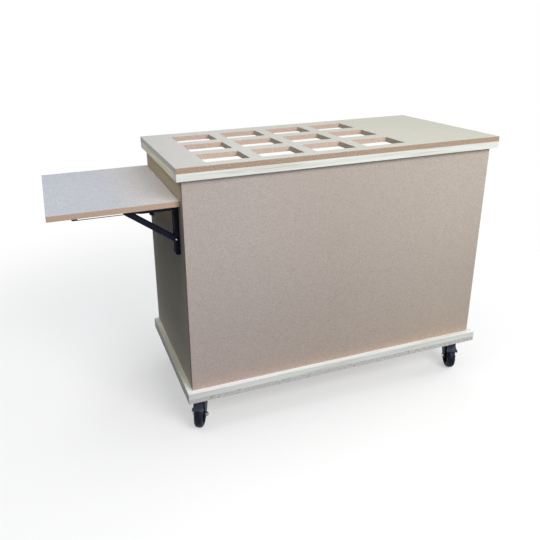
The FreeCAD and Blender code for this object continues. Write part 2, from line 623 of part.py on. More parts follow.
def write_carcass():
    screws = batten_screws()
    caster_bolts = [screw for name in CASTER_HEADINGS for screw in caster_screws(name)]
    bracket_screws = wall_screws()
    for name, board in carcass_boards().items():
        save(name, drilled(board, screws + caster_bolts + bracket_screws))
    save("top_board", top_board())
    lips = edge_strips(TOP_LEFT, TOP_RIGHT, TOP_FRONT, BACK, LIP_WIDTH, BODY_TOP, LIP_TOP)
    for side, lip in lips.items():
        save(f"top_lip_{side}", lip)
    save("batten_screws", *screws)
    save("caster_screws", *caster_bolts)
    save("wall_screws", *bracket_screws)


def write_shelf():
    screws = shelf_screws()
    shelf = box(BODY_LEFT - SHELF_REACH, BODY_LEFT - SHELF_GAP, SHELF_FRONT, BACK,
                SHELF_UNDERSIDE, SHELF_TOP)
    save("shelf_board", drilled(shelf, screws))
    save("shelf_screws", *screws)
    for name, y in BRACKETS.items():
        save(f"wall_channel_{name}", drilled(wall_channel(y), wall_screws()))
        save(f"arm_channel_{name}", drilled(arm_channel(y), screws))
        save(f"brace_{name}", brace(y))
        save(f"slide_pin_middle_{name}", slide_pin_middle(y))
        save(f"slide_pin_ends_{name}", *slide_pin_ends(y))
    save("hinge_rivets", *(rivet(HINGE_X, y, HINGE_Z, ARM_WIDTH / 2, WALL_WIDTH / 2)
                           for y in BRACKETS.values()))
    save("brace_rivets", *(rivet(HINGE_X, y, HINGE_Z - BRACE_SPAN, BRACE_WIDTH / 2)
                           for y in BRACKETS.values()))


def write_casters():
    for name, heading in CASTER_HEADINGS.items():
        save(f"caster_{name}_plate", fixed_at(caster_plate(), name))
        save(f"caster_{name}_fork", placed(fork(name in BRAKED_CASTERS), name, heading))
        save(f"caster_{name}_axle", *(placed(piece, name, heading)
                                      for piece in axle_bolt_and_nut()))
        save(f"caster_{name}_tread", placed(wheel_tread(), name, heading))
        save(f"caster_{name}_hub", placed(wheel_hub(), name, heading))
        if name in BRAKED_CASTERS:
            save(f"caster_{name}_pedal", placed(brake_pedal(), name, heading))
    save("kingpins", *(fixed_at(kingpin(), name) for name in CASTER_HEADINGS))
    save("swivel_bearings", *(fixed_at(swivel_bearing(), name) for name in CASTER_HEADINGS))


os.makedirs("parts", exist_ok=True)
write_carcass()
write_shelf()
write_casters()
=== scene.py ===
"""A mobile service table: materials, added detail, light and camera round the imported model.

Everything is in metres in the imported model's own frame: X along the length from the side shelf,
Y from the front panel to the open back, Z up from the floor.
"""
import bmesh
import bpy
import math
from mathutils import Matrix, Vector


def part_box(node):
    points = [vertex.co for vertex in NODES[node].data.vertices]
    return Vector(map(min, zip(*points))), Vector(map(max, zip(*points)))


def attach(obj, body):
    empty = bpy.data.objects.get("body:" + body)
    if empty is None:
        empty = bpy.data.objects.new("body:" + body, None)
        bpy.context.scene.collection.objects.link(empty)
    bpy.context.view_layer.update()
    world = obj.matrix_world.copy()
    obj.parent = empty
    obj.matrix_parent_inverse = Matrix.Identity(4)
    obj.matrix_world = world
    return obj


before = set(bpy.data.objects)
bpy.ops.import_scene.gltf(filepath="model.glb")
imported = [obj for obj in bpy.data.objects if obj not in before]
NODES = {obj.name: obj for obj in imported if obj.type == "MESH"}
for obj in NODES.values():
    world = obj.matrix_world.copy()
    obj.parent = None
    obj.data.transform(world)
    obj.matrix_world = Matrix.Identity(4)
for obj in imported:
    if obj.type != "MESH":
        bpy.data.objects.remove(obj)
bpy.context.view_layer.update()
MM = 0.001

# --- camera, solved from corners read off the photograph ---
PHOTO_SIDE = 540                     # pixels
FOCAL_PIXELS = 566.017
CENTRE_X, CENTRE_Y = 232.567, 227.213        # the lens's axis in the photograph, in pixels
CAMERA_PLACE = (-0.7836, -1.9462, 1.3807)
CAMERA_YAW, CAMERA_PITCH, CAMERA_ROLL = 18.389, -19.420, -1.458      # degrees
SENSOR = 36.0                        # millimetres

# --- colours and shader nodes ---
# The colour sockets of a mix node. Its others of the same names hold numbers and vectors.
MIX_FIRST, MIX_SECOND, MIX_RESULT = 6, 7, 2


def srgb(red, green, blue):
    """A colour given as 0 to 255 on screen, in the linear values that Blender takes."""
    def linear(value):
        value /= 255.0
        return value / 12.92 if value <= 0.04045 else ((value + 0.055) / 1.055) ** 2.4
    return (linear(red), linear(green), linear(blue), 1.0)


def shades(red, green, blue, spread):
    """A colour, a darker and a lighter one, a step of the spread apart."""
    return tuple(srgb(red + step, green + step, blue + step) for step in (0, -spread, spread))


class Shader:
    """A Principled material built node by node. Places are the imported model's, in metres."""

    def __init__(self, name, metallic=0.0, specular=0.5):
        self.material = bpy.data.materials.new(name)
        self.material.use_nodes = True
        self.tree = self.material.node_tree
        self.surface = self.tree.nodes["Principled BSDF"]
        self.surface.inputs["Metallic"].default_value = metallic
        self.surface.inputs["Specular IOR Level"].default_value = specular
        coordinates = self.add("ShaderNodeTexCoord")
        self.place = coordinates.outputs["Object"]
        self.normal = coordinates.outputs["Normal"]
        self.graded = 1.0        # 1 where a grading tints the surface

    def add(self, kind, **settings):
        node = self.tree.nodes.new(kind)
        for key, value in settings.items():
            setattr(node, key, value)
        return node

    def put(self, target, value):
        """Link an output to an input, or set the input's own value."""
        if isinstance(value, bpy.types.NodeSocket):
            self.tree.links.new(value, target)
        else:
            target.default_value = value

    def noise(self, scale, stretch=(1.0, 1.0, 1.0), detail=2.0, roughness=0.5, shift=0.0):
        """Noise from 0 to 1, with so many features to the metre, fewer along a stretched axis."""
        mapping = self.add("ShaderNodeMapping")
        self.put(mapping.inputs["Vector"], self.place)
        mapping.inputs["Scale"].default_value = tuple(1.0 / value for value in stretch)
        mapping.inputs["Location"].default_value = (shift, shift * 0.7, shift * 1.3)
        node = self.add("ShaderNodeTexNoise")
        self.put(node.inputs["Vector"], mapping.outputs["Vector"])
        node.inputs["Scale"].default_value = scale
        node.inputs["Detail"].default_value = detail
        node.inputs["Roughness"].default_value = roughness
        return node.outputs["Fac"]

    def axis(self, source, index):
        """One component of a vector."""
        node = self.add("ShaderNodeSeparateXYZ")
        self.put(node.inputs["Vector"], source)
        return node.outputs[index]

    def math(self, operation, first, second=0.0):
        node = self.add("ShaderNodeMath", operation=operation)
        self.put(node.inputs[0], first)
        self.put(node.inputs[1], second)
        return node.outputs["Value"]

    def facing(self, index, low=0.6, high=0.85):
        """1 on surfaces that face along an axis, either way, and 0 on those that face across it."""
        return self.span(self.math("ABSOLUTE", self.axis(self.normal, index)), low, high)

    def span(self, value, low, high, out_low=0.0, out_high=1.0):
        """The value's place between two bounds, eased and clamped, between two others."""
        node = self.add("ShaderNodeMapRange", interpolation_type="SMOOTHSTEP")
        self.put(node.inputs["Value"], value)
        node.inputs["From Min"].default_value = low
        node.inputs["From Max"].default_value = high
        node.inputs["To Min"].default_value = out_low
        node.inputs["To Max"].default_value = out_high
        return node.outputs["Result"]

    def ramp(self, value, *stops):
        """Colours spread over 0 to 1. A stop is a place and the colour there."""
        node = self.add("ShaderNodeValToRGB")
        elements = node.color_ramp.elements
        while len(elements) < len(stops):
            elements.new(0.5)
        for element, (place, colour) in zip(elements, stops):
            element.position = place
            element.color = colour
        self.put(node.inputs["Fac"], value)
        return node.outputs["Color"]

    def speckle(self, value, colours, stops=(0.34, 0.50, 0.66)):
        """A middle, a darker and a lighter colour, spread over a noise."""
        middle, dark, light = colours
        return self.ramp(value, *zip(stops, (dark, middle, light)))

    def within(self, corners, margin):
        """1 further than a margin inside a box's four upright sides, and 0 outside that."""
        inside = 1.0
        for axis in (0, 1):
            low, high = corners[0][axis], corners[1][axis]
            middle = (low + high) / 2
            half = (high - low) / 2 - margin
            off = self.math("ABSOLUTE",
                            self.math("SUBTRACT", self.axis(self.place, axis), middle))
            inside = self.math("MULTIPLY", inside, self.math("LESS_THAN", off, half))
        return inside

    def mix(self, factor, first, second, blend="MIX"):
        """The first colour where the factor is 0, and the second, or their blend, where it's 1."""
        node = self.add("ShaderNodeMix", data_type="RGBA", blend_type=blend)
        self.put(node.inputs["Factor"], factor)
        self.put(node.inputs[MIX_FIRST], first)
        self.put(node.inputs[MIX_SECOND], second)
        return node.outputs[MIX_RESULT]

    def bump(self, height, distance, strength):
        """Relief from a height of 0 to 1 that stands for a distance in metres."""
        node = self.add("ShaderNodeBump")
        node.inputs["Strength"].default_value = strength
        node.inputs["Distance"].default_value = distance
        self.put(node.inputs["Height"], height)
        self.put(self.surface.inputs["Normal"], node.outputs["Normal"])

    def colour(self, value):
        self.put(self.surface.inputs["Base Color"], value)

    def rough(self, value):
        self.put(self.surface.inputs["Roughness"], value)


# --- material recipes; the numbers in them are features to the metre and shares from 0 to 1 ---
GRAIN_STRETCH = 26.0                 # how much longer pine's grain is than it is wide
PLY_PAIR = 2.6 * MM                  # a ply along and a ply across
PLY_RIPPLE = 1.6 * MM                # how far the plies wander up and down
PLY_LONG, PLY_CROSS = srgb(190, 189, 187), srgb(164, 161, 156)
PLY_TORN, PLY_STREAK = srgb(234, 234, 233), srgb(104, 98, 90)
PLY_FACE = srgb(201, 185, 158), srgb(184, 166, 138), srgb(213, 199, 175)
PLY_BROAD = srgb(190, 170, 140)
FLECK = srgb(150, 137, 126)
RIVET_BRIGHT, RIVET_DULL, RIVET_COAT = srgb(240, 242, 245), srgb(205, 208, 212), srgb(14, 18, 34)
RIVET_HIGHLIGHT_RADII = 2.5 * MM, 3.1 * MM    # radii between which a rivet's bright middle ends: a painted highlight
RIVET_POLISH = 2.0 * MM, 3.5 * MM    # and between which it turns from smooth to rough
RIVET_RAGGED = 0.6 * MM              # how far the bright middle's edge wanders
CUTOUT_MARGIN = 5 * MM               # walls further in than this belong to cut-outs
EASED_ANGLE = math.radians(40)       # only edges sharper than this are eased
EASED_SEGMENTS = 2


def fibreboard(name, thickness_axis, face, sides, ends, inside=None, shift=0.0):
    """Raw fibreboard: a fine mottled face, and coarser sawn edges.

    Colours come in threes: the middle one, a darker and a lighter. The edges that face along X
    are the ends, and the others the sides; the ends' colours are painted shade, the sawn edge as it
    looks in shade. Inside is the worktop's cut-outs: the colours of their walls along X and Y,
    painted as they look lit and in shade, in that order.
    """
    shader = Shader(name, specular=0.1)
    clouds = shader.noise(1.7, (2.2, 2.2, 1.0), detail=2.0, shift=shift)
    mottle = shader.noise(34.0, detail=3.0, roughness=0.55, shift=shift)
    fibre = shader.noise(210.0, detail=5.0, roughness=0.8, shift=shift)
    fleck = shader.noise(190.0, detail=1.0, shift=shift + 3.0)
    chips = shader.noise(250.0, detail=4.0, roughness=0.8, shift=shift)
    board = shader.speckle(fibre, face)
    board = shader.mix(shader.span(clouds, 0.35, 0.65, 0.0, 0.22), board, face[1])
    board = shader.mix(shader.span(mottle, 0.3, 0.7, 0.0, 0.16), board, face[2])
    board = shader.mix(shader.span(fleck, 0.66, 0.78, 0.0, 0.45), board, FLECK)
    along_x = shader.facing(0)
    sawn = shader.mix(along_x, shader.speckle(chips, sides), shader.speckle(chips, ends))
    if inside:
        walls = shader.mix(along_x, shader.speckle(chips, inside[0]),
                           shader.speckle(chips, inside[1]))
        sawn = shader.mix(shader.within(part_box("top_board"), CUTOUT_MARGIN), sawn, walls)
    shader.graded = shader.facing(thickness_axis, 0.55)
    shader.colour(shader.mix(shader.graded, sawn, board))
    shader.rough(shader.span(mottle, 0.3, 0.7, 0.78, 0.92))
    shader.bump(shader.math("ADD", fibre, chips), 0.25 * MM, 0.5)
    return shader


def pine(name, along, base, dark, light, shift=0.0, upright=(1.0, 1.0, 1.0)):
    """Planed pine: long soft growth lines, fine pores and broad paler streaks.

    Upright is what the colour of its upright faces is multiplied by: painted shade, which makes
    them darker than the level faces.
    """
    shader = Shader(name, specular=0.12)
    stretch = [1.0, 1.0, 1.0]
    stretch[along] = GRAIN_STRETCH
    growth = shader.noise(95.0, stretch, detail=2.5, roughness=0.6, shift=shift)
    pores = shader.noise(650.0, stretch, detail=2.0, roughness=0.7, shift=shift)
    broad = shader.noise(5.0, detail=2.0, shift=shift)
    wood = shader.speckle(growth, (base, dark, light), (0.33, 0.47, 0.62))
    wood = shader.mix(shader.span(pores, 0.55, 0.8, 0.0, 0.3), wood, dark)
    wood = shader.mix(shader.span(broad, 0.35, 0.7, 0.0, 0.35), wood, light)
    end_grain = shader.ramp(shader.noise(240.0, detail=2.0, shift=shift),
                            (0.35, dark), (0.65, base))
    wood = shader.mix(shader.facing(along), wood, end_grain)
    # Painted shade: upright faces are multiplied darker than the level ones.
    tint = shader.mix(shader.facing(2, 0.3, 0.8), (*upright, 1.0), (1.0, 1.0, 1.0, 1.0))
    shader.colour(shader.mix(1.0, wood, tint, "MULTIPLY"))
    shader.rough(shader.span(growth, 0.3, 0.7, 0.62, 0.8))
    shader.bump(shader.math("ADD", growth, pores), 0.3 * MM, 0.5)
    return shader.material


def plywood(name):
    """Rough sawn plywood: grainy faces, and plies of two directions along its edges."""
    shader = Shader(name, specular=0.1)
    ripple = shader.math("MULTIPLY", shader.noise(16.0, (6.0, 6.0, 1.0)), PLY_RIPPLE)
    level = shader.math("ADD", shader.axis(shader.place, 2), ripple)
    phase = shader.math("MULTIPLY", level, 2.0 * math.pi / PLY_PAIR)
    band = shader.span(shader.math("SINE", phase), -0.45, 0.45, 0.0, 0.45)
    chips = shader.noise(210.0, (1.5, 1.5, 1.0), detail=5.0, roughness=0.8)
    streak = shader.noise(150.0, (3.0, 3.0, 1.0), detail=3.0, roughness=0.7)
    edge = shader.mix(band, PLY_LONG, PLY_CROSS)
    edge = shader.mix(shader.span(chips, 0.40, 0.64, 0.0, 0.8), edge, PLY_TORN)
    edge = shader.mix(shader.span(streak, 0.52, 0.70, 0.0, 0.7), edge, PLY_STREAK)
    grain = shader.noise(130.0, (14.0, 1.0, 1.0), detail=5.0, roughness=0.7)
    broad = shader.noise(7.0, (6.0, 1.0, 1.0))
    face = shader.speckle(grain, PLY_FACE, (0.32, 0.50, 0.68))
    face = shader.mix(shader.span(broad, 0.35, 0.7, 0.0, 0.3), face, PLY_BROAD)
    shader.colour(shader.mix(shader.facing(2), edge, face))
    shader.rough(0.9)
    shader.bump(shader.math("ADD", chips, streak), 0.8 * MM, 0.7)
    return shader.material


def powder_coat(name, base, worn, wear=0.5, shift=0.0):
    """Black powder coat: an orange-peel skin, with dust in places and rubbed in a few."""
    shader = Shader(name, specular=0.12)
    peel = shader.noise(900.0, detail=2.0, shift=shift)
    dust = shader.noise(30.0, detail=4.0, roughness=0.65, shift=shift)
    rub = shader.noise(150.0, detail=3.0, roughness=0.7, shift=shift + 5.0)
    coat = shader.mix(shader.span(dust, 0.45, 0.75, 0.0, wear * 0.7), base, worn)
    coat = shader.mix(shader.span(rub, 0.66, 0.8, 0.0, wear), coat, worn)
    shader.colour(coat)
    shader.rough(shader.span(dust, 0.3, 0.7, 0.34, 0.55))
    shader.bump(peel, 0.12 * MM, 0.5)
    return shader.material


def plated(name, bright, dull, shift=0.0):
    """Zinc plate: bright metal with faint turning marks and dull patches."""
    shader = Shader(name, metallic=1.0)
    patches = shader.noise(140.0, detail=3.0, roughness=0.6, shift=shift)
    marks = shader.noise(1400.0, (1.0, 1.0, 8.0), detail=2.0, shift=shift)
    shader.colour(shader.mix(shader.span(patches, 0.35, 0.7), bright, dull))
    shader.rough(shader.span(patches, 0.3, 0.7, 0.22, 0.42))
    shader.bump(marks, 0.1 * MM, 0.4)
    return shader.material


def rivet_heads():
    """The brace rivets: black like their bracket, with a painted highlight in the middle of each
    head, made as bright metal.
    """
    shader = Shader("rivet_steel", metallic=1.0)
    low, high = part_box("brace_rivets")
    middle = (low + high) / 2
    off = [shader.math("SUBTRACT", shader.axis(shader.place, axis), middle[axis])
           for axis in (0, 2)]
    off = shader.math("SQRT", shader.math("ADD", shader.math("MULTIPLY", off[0], off[0]),
                                          shader.math("MULTIPLY", off[1], off[1])))
    marks = shader.noise(1500.0, detail=3.0, roughness=0.7)
    edge = shader.math("ADD", off, shader.math("MULTIPLY", marks, RIVET_RAGGED))
    highlight_metal = shader.mix(shader.span(marks, 0.35, 0.65), RIVET_BRIGHT, RIVET_DULL)
    # Painted highlight: a bright metal middle inside the black rim of each head.
    shader.colour(shader.mix(shader.span(edge, *RIVET_HIGHLIGHT_RADII), highlight_metal, RIVET_COAT))
    shader.rough(shader.span(off, *RIVET_POLISH, 0.22, 0.5))
    shader.bump(marks, 0.1 * MM, 0.5)
    return shader.material


def rubber(name, base, dust_and_sheen, shift=0.0):
    """Moulded black rubber or plastic, with floor dust in its pores; on the tread that colour is a
    painted bluish sheen instead.
    """
    shader = Shader(name, specular=0.16)
    skin = shader.noise(700.0, detail=3.0, roughness=0.65, shift=shift)
    dust = shader.noise(60.0, detail=4.0, roughness=0.7, shift=shift)
    # The second colour is dust on the hub, and a painted bluish sheen on the tread.
    shader.colour(shader.mix(shader.span(dust, 0.42, 0.8, 0.0, 0.4), base, dust_and_sheen))
    shader.rough(shader.span(dust, 0.3, 0.7, 0.3, 0.6))
    shader.bump(skin, 0.2 * MM, 0.5)
    return shader.material


def grade(shader, axis, start, tints):
    """Tint a board's faces along an axis, by the distance from a start. On the shelf, the front and
    the left side these tints are painted light and shade.
    """
    base = shader.surface.inputs["Base Color"].links[0].from_socket
    distance = shader.math("SUBTRACT", shader.axis(shader.place, axis), start)
    tint = shader.ramp(distance, *((place, (*shares, 1.0)) for place, shares in tints))
    shader.colour(shader.mix(shader.graded, base, tint, "MULTIPLY"))


def dress(node, material):
    """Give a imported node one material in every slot."""
    data = NODES[node].data
    if not data.materials:
        data.materials.append(material)
    for index in range(len(data.materials)):
        data.materials[index] = material


def ease(node, width):
    """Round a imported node's sharp edges a little, as sanding or pressing leaves them."""
    bevel = NODES[node].modifiers.new("eased edges", "BEVEL")
    bevel.width = width
    bevel.segments = EASED_SEGMENTS
    bevel.limit_method = "ANGLE"
    bevel.angle_limit = EASED_ANGLE


# --- materials ---
# Fibreboard's sawn edges, and the walls of the worktop's cut-outs, with painted light and shade:
# the ends as the sawn edge looks in shade, the cut-outs' walls as they look lit and in shade.
SAWN = srgb(174, 151, 131), srgb(140, 115, 94), srgb(204, 183, 165)
SHELF_SAWN = shades(193, 169, 150, 15)
# Painted shade: the ends, edges that face along X, in the colours of the sawn edge in shade.
WORKTOP_SHADED_ENDS = shades(194, 192, 184, 14)
SHELF_SHADED_ENDS = shades(180, 172, 160, 12)
PANEL_SHADED_ENDS = shades(150, 138, 122, 14)
# Painted light and shade: the cut-outs' walls along X as they look lit, those along Y as they look
# in shade.
CUTOUT_LIT_SIDES = srgb(210, 186, 170), srgb(190, 162, 144), srgb(226, 207, 194)
CUTOUT_SHADED_ENDS = srgb(178, 168, 150), srgb(152, 141, 122), srgb(198, 190, 174)

# Pine: a middle, a darker and a lighter colour.
PINE = srgb(223, 226, 221), srgb(205, 205, 194), srgb(233, 236, 232)
LIP_END_PINE = srgb(218, 213, 187), srgb(196, 190, 160), srgb(231, 227, 206)
BASE_PINE = srgb(232, 235, 233), srgb(216, 216, 209), srgb(240, 243, 242)
# Painted light: the pine of the base's end strips is made lighter to make up for the shelf's shade
# on their level tops.
BASE_END_PINE_PAINTED_LIGHT = srgb(246, 240, 221), srgb(230, 222, 198), srgb(251, 248, 236)
BATTEN_PINE = srgb(222, 211, 184), srgb(196, 174, 138), srgb(234, 226, 205)

# Tints along a board: a distance in metres, and what the colour is multiplied by there.
WORKTOP_TINTS = ((0.0, (0.90, 0.885, 0.89)), (0.25, (0.98, 0.98, 0.98)),
                 (0.62, (0.98, 0.98, 0.94)), (1.0, (1.0, 1.0, 0.90)))
# Painted light on the shelf: a cool blue tint over its outer part for the sky it reflects, and a
# warm one next to the panel for light the panel throws on it.
SHELF_PAINTED_LIGHT = ((0.0, (0.84, 0.89, 0.96)), (0.20, (0.84, 0.88, 0.95)),
               (0.32, (0.97, 0.95, 0.94)), (0.40, (1.0, 0.95, 0.91)))
# Painted light and shade on the front panel: a warm tint just above the base for light the pine
# ledge throws up, darker over the lower half, and darker about the middle of its length with a
# yellower tone towards the right end.
FRONT_PAINTED_LIGHT_UP = ((0.0, (0.95, 0.84, 0.76)), (0.06, (0.89, 0.85, 0.83)),
                  (0.30, (0.89, 0.88, 0.88)), (0.55, (0.97, 0.96, 0.96)),
                  (0.75, (1.0, 1.0, 1.0)))
FRONT_PAINTED_SHADE_ALONG = ((0.0, (1.0, 1.0, 1.0)), (0.25, (0.97, 0.97, 0.95)),
                     (0.55, (0.93, 0.93, 0.88)), (0.90, (0.98, 0.98, 0.91)),
                     (1.0, (1.0, 1.0, 0.92)))
# Painted shadow of the shelf on the left side panel: darker upwards to just under the shelf, then a
# warm tint above it for light the shelf throws up.
SIDE_PAINTED_SHADOW_UP = ((0.0, (1.0, 1.0, 1.0)), (0.14, (0.84, 0.84, 0.84)),
                 (0.34, (0.78, 0.79, 0.79)), (0.54, (0.66, 0.67, 0.66)),
                 (0.62, (0.96, 0.87, 0.72)), (0.80, (0.96, 0.87, 0.72)))

worktop_board = fibreboard("worktop_fibreboard", 2, shades(194, 193, 189, 17), SAWN, WORKTOP_SHADED_ENDS,
                           (CUTOUT_LIT_SIDES, CUTOUT_SHADED_ENDS))
grade(worktop_board, 0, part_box("top_board")[0].x, WORKTOP_TINTS)
shelf_board = fibreboard("shelf_fibreboard", 2, shades(191, 189, 188, 24), SHELF_SAWN, SHELF_SHADED_ENDS,
                         shift=9.0)
# Painted light and reflection on the shelf's faces.
grade(shelf_board, 0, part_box("shelf_board")[0].x, SHELF_PAINTED_LIGHT)
front_board = fibreboard("front_fibreboard", 1, shades(191, 181, 177, 19), SAWN, PANEL_SHADED_ENDS,
                         shift=2.0)
# Painted light and shade on the front panel's faces, up the panel and along it.
grade(front_board, 2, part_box("front_panel")[0].z, FRONT_PAINTED_LIGHT_UP)
grade(front_board, 0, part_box("front_panel")[0].x, FRONT_PAINTED_SHADE_ALONG)
left_board = fibreboard("side_fibreboard", 0, shades(184, 178, 167, 24), SAWN, PANEL_SHADED_ENDS,
                        shift=4.0)
# The painted shadow goes on the panel's outer face only.
outside = left_board.math("LESS_THAN", left_board.axis(left_board.normal, 0), 0.0)
left_board.graded = left_board.math("MULTIPLY", left_board.graded, outside)
grade(left_board, 2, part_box("left_side_panel")[0].z, SIDE_PAINTED_SHADOW_UP)
right_board = fibreboard("end_fibreboard", 0, shades(184, 175, 164, 20), SAWN, PANEL_SHADED_ENDS,
                         shift=6.0)
lip_x = pine("lip_pine_lengthways", 0, *PINE)
lip_y = pine("lip_pine_crossways", 1, *LIP_END_PINE, 3.0)
# Painted shade: the upright faces of the base strips are multiplied darker than their level tops.
base_x = pine("base_pine_lengthways", 0, *BASE_PINE, 1.0, (0.875, 0.89, 0.875))
# Painted light and shade: the end strips' pine made lighter, and their upright faces darker.
base_y = pine("base_pine_crossways", 1, *BASE_END_PINE_PAINTED_LIGHT, 4.0, (0.73, 0.74, 0.75))
batten_y = pine("batten_crossways", 1, *BATTEN_PINE, 5.0)
batten_z = pine("batten_upright", 2, *BATTEN_PINE, 6.0)
sawn_plywood = plywood("plywood")
black_steel = powder_coat("black_steel", srgb(10, 14, 30), srgb(36, 46, 76))
fork_steel = powder_coat("fork_steel", srgb(50, 55, 68), srgb(104, 109, 122), 0.8, 2.0)
pedal_steel = powder_coat("pedal_steel", srgb(54, 60, 74), srgb(112, 120, 138), 0.8, 4.0)
# Painted shade: the dark colour of the crosses laid on the screw heads for their drive recesses.
painted_recess_shade = powder_coat("painted_recess_shade", srgb(46, 42, 36), srgb(98, 90, 74))
rivet_steel = rivet_heads()
zinc = plated("zinc", srgb(172, 176, 184), srgb(120, 124, 132))
screw_zinc = plated("screw_zinc", srgb(216, 204, 168), srgb(170, 158, 122), 2.0)
# Painted sheen: the tread's second colour is a bluish sheen, laid on in patches.
tread_rubber = rubber("tread_rubber", srgb(6, 11, 26), srgb(58, 74, 104))
hub_plastic = rubber("hub_plastic", srgb(30, 32, 40), srgb(80, 82, 88), 3.0)

# A node takes the first finish whose words its name starts and ends with. The last number is how
# far its edges are eased, in millimetres.
FINISHES = (
    ("top_board", "", worktop_board.material, 0.6),
    ("shelf_board", "", shelf_board.material, 0.6),
    ("front_panel", "", front_board.material, 0.5),
    ("left_side", "", left_board.material, 0.5), ("right_side", "", right_board.material, 0.5),
    ("floor_board", "", sawn_plywood, 0.5), ("base_plywood", "", sawn_plywood, 0.8),
    ("top_lip", "front", lip_x, 1.0), ("top_lip", "", lip_y, 1.0),
    ("base_strip", "front", base_x, 1.4), ("base_strip", "back", base_x, 1.4),
    ("base_strip", "", base_y, 1.4),
    ("corner_batten", "", batten_z, 1.0), ("bottom_batten", "", batten_y, 1.0),
    ("", "_screws", screw_zinc, 0.0), ("brace_rivets", "", rivet_steel, 0.4),
    ("", "_axle", zinc, 0.4), ("kingpins", "", zinc, 0.4), ("", "_tread", tread_rubber, 0.0),
    ("", "_hub", hub_plastic, 0.8), ("", "_fork", fork_steel, 0.6),
    ("", "_pedal", pedal_steel, 0.6), ("", "", black_steel, 0.4),
)
for name in NODES:
    for start, end, material, eased in FINISHES:
        if name.startswith(start) and name.endswith(end):
            dress(name, material)
            if eased:
                ease(name, eased * MM)
            break


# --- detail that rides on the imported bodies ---
BRACE_END_RADIUS = 8 * MM
BEAD_HALF_WIDTH, BEAD_HEIGHT = 1.5 * MM, 0.5 * MM
BEAD_OFFSET = 2.0 * MM       # above the brace's middle line
# Places along a bead, as shares of the brace's run, and how full the bead is there.
BEAD_STATIONS = ((0.10, 0.3), (0.105, 0.75), (0.115, 1.0), (0.885, 1.0), (0.895, 0.75),
                 (0.90, 0.3))
BEAD_STEPS = 8
MERGED = 0.001 * MM          # a screw's corners closer than this are one
SINK = 0.05 * MM             # how deep an added piece's back lies in what carries it
DRIVE_REACH, DRIVE_HALF_WIDTH = 0.58, 0.13   # shares of a screw head's radius
DRIVE_HEIGHT = 0.08 * MM


def add_piece(name, corners, faces, material, body):
    """A new mesh with a finish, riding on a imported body."""
    mesh = bpy.data.meshes.new(name)
    mesh.from_pydata([tuple(corner) for corner in corners], [], faces)
    mesh.materials.append(material)
    made = bmesh.new()
    made.from_mesh(mesh)
    bmesh.ops.recalc_face_normals(made, faces=made.faces)
    made.to_mesh(mesh)
    made.free()
    piece = bpy.data.objects.new(name, mesh)
    bpy.context.scene.collection.objects.link(piece)
    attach(piece, body)
    return piece


def brace_beads(side):
    """A pressed bead along both cheeks of a brace, rounded across and run out at its ends."""
    low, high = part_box(f"brace_{side}")
    start = Vector((high.x - BRACE_END_RADIUS, 0, low.z + BRACE_END_RADIUS))
    run = Vector((low.x + BRACE_END_RADIUS, 0, high.z - BRACE_END_RADIUS)) - start
    up = Vector((run.z, 0, -run.x)).normalized()
    corners, faces = [], []
    for cheek, out in ((low.y, -1), (high.y, 1)):
        first = len(corners)
        for share, size in BEAD_STATIONS:
            for step in range(BEAD_STEPS + 1):
                turn = math.pi * step / BEAD_STEPS
                height = size * BEAD_HEIGHT * math.sin(turn) - SINK
                corner = start + run * share
                corner += up * (BEAD_OFFSET + size * BEAD_HALF_WIDTH * math.cos(turn))
                corner.y = cheek + out * height
                corners.append(corner)
        ring = BEAD_STEPS + 1
        for station in range(len(BEAD_STATIONS) - 1):
            near = first + station * ring
            for step in range(ring):
                after = (step + 1) % ring
                faces.append((near + step, near + after, near + ring + after, near + ring + step))
        last = first + (len(BEAD_STATIONS) - 1) * ring
        faces += [tuple(range(first, first + ring)), tuple(range(last, last + ring))]
    bead = add_piece(f"brace_{side}_beads", corners, faces, black_steel, f"brace_{side}")
    bead.data.shade_smooth()


def screw_heads(node):
    """Each screw's head in a node: the middle of its face, the way it faces and its radius."""
    joined = bmesh.new()
    joined.from_mesh(NODES[node].data)
    bmesh.ops.remove_doubles(joined, verts=joined.verts, dist=MERGED)
    heads, seen = [], set()
    for vertex in joined.verts:
        if vertex in seen:
            continue
        screw, waiting = [], [vertex]
        seen.add(vertex)
        while waiting:
            here = waiting.pop()
            screw.append(here.co.copy())
            for edge in here.link_edges:
                there = edge.other_vert(here)
                if there not in seen:
                    seen.add(there)
                    waiting.append(there)
        low = [min(point[axis] for point in screw) for axis in range(3)]
        high = [max(point[axis] for point in screw) for axis in range(3)]
        along = max(range(3), key=lambda axis: high[axis] - low[axis])
        middle = Vector([(low[axis] + high[axis]) / 2 for axis in range(3)])
        best = None
        for end, way in ((low[along], -1), (high[along], 1)):
            middle[along] = end
            radius = max((point - middle).length for point in screw
                         if abs(point[along] - end) < SINK)
            if best is None or radius > best[2]:
                facing = Vector((0, 0, 0))
                facing[along] = way
                best = (middle.copy(), facing, radius)
        heads.append(best)
    joined.free()
    return heads


def screw_drives(node, body):
    """A dark cross in the head of every screw of a node: painted shade, a thin dark sheet that
    stands for the shade in the drive's recess.
    """
    corners, faces = [], []
    for place, facing, radius in screw_heads(node):
        across = facing.orthogonal().normalized()
        up = facing.cross(across)
        reach, half = DRIVE_REACH * radius, DRIVE_HALF_WIDTH * radius
        arm = [(reach, -half), (reach, half), (half, half)]
        outline = []
        for _ in range(4):
            outline += arm
            arm = [(-b, a) for a, b in arm]
        first, count = len(corners), len(outline)
        for height in (-SINK, DRIVE_HEIGHT):
            corners += [place + across * a + up * b + facing * height for a, b in outline]
        faces += [tuple(range(first, first + count)),
                  tuple(range(first + count, first + 2 * count))]
        faces += [(first + step, first + (step + 1) % count,
                   first + count + (step + 1) % count, first + count + step)
                  for step in range(count)]
    add_piece(f"{node}_drives", corners, faces, painted_recess_shade, body)


